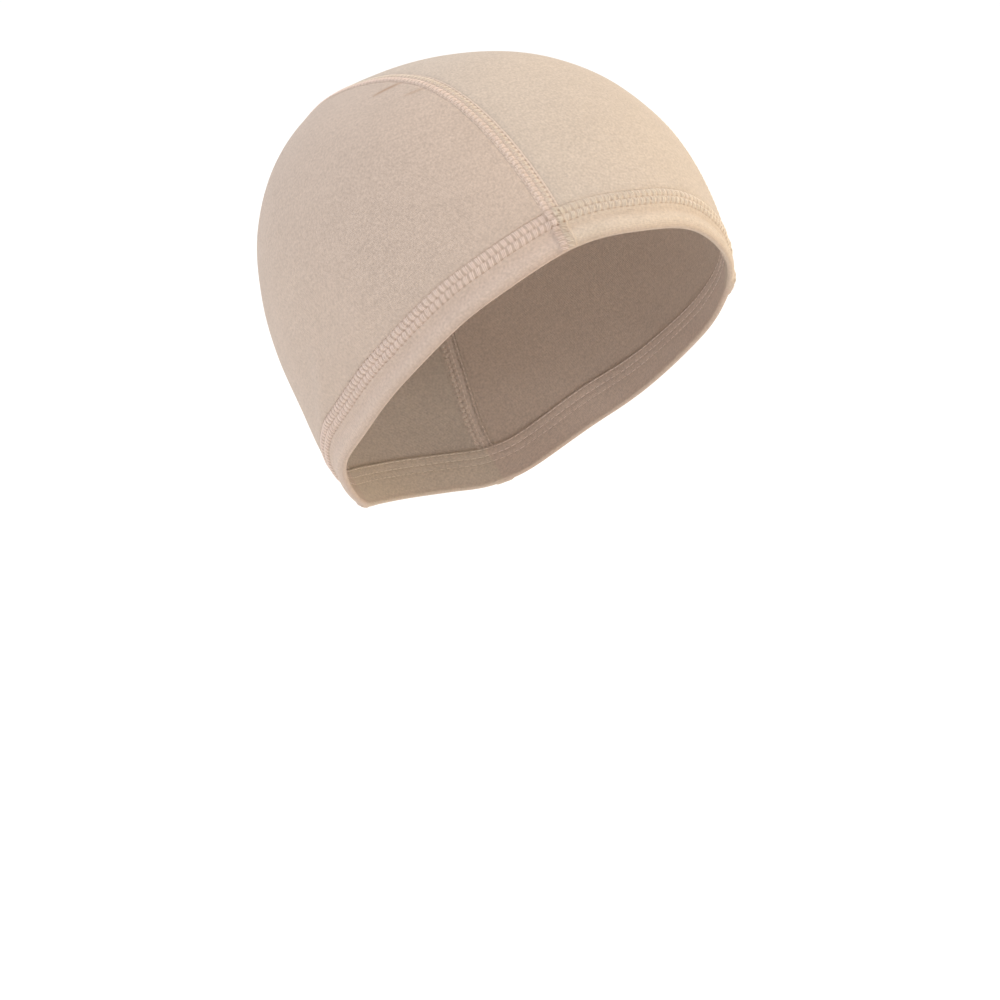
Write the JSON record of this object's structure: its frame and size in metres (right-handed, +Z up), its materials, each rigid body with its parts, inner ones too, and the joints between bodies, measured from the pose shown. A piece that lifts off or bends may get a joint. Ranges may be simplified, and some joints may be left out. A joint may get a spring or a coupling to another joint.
{
  "type": "wig cap",
  "caption": "Close-fitting stretch-jersey wig cap: panels joined by raised flat seams, with a folded hem round the opening for the head.",
  "frame": {"origin": "highest point of the crown's inner face, on the axis through the middle of the head hollow", "axes": "+Z up, -Y the way the wearer faces, +Y towards the nape, -X the wearer's right"},
  "size_m": [0.1575, 0.1803, 0.1724],
  "materials": {
    "centre_jersey": "fine stretch jersey, warm nude beige",
    "side_jersey": "fine stretch jersey, nude beige",
    "stitched_jersey": "doubled jersey with coverstitch loops in matching thread"
  },
  "bodies": {
    "root": {"centre_panel": "centre_jersey", "right_panel": "side_jersey", "left_panel": "side_jersey", "seam_right": "stitched_jersey", "seam_left": "stitched_jersey", "hem_band": "stitched_jersey"}
  },
  "joints": []
}
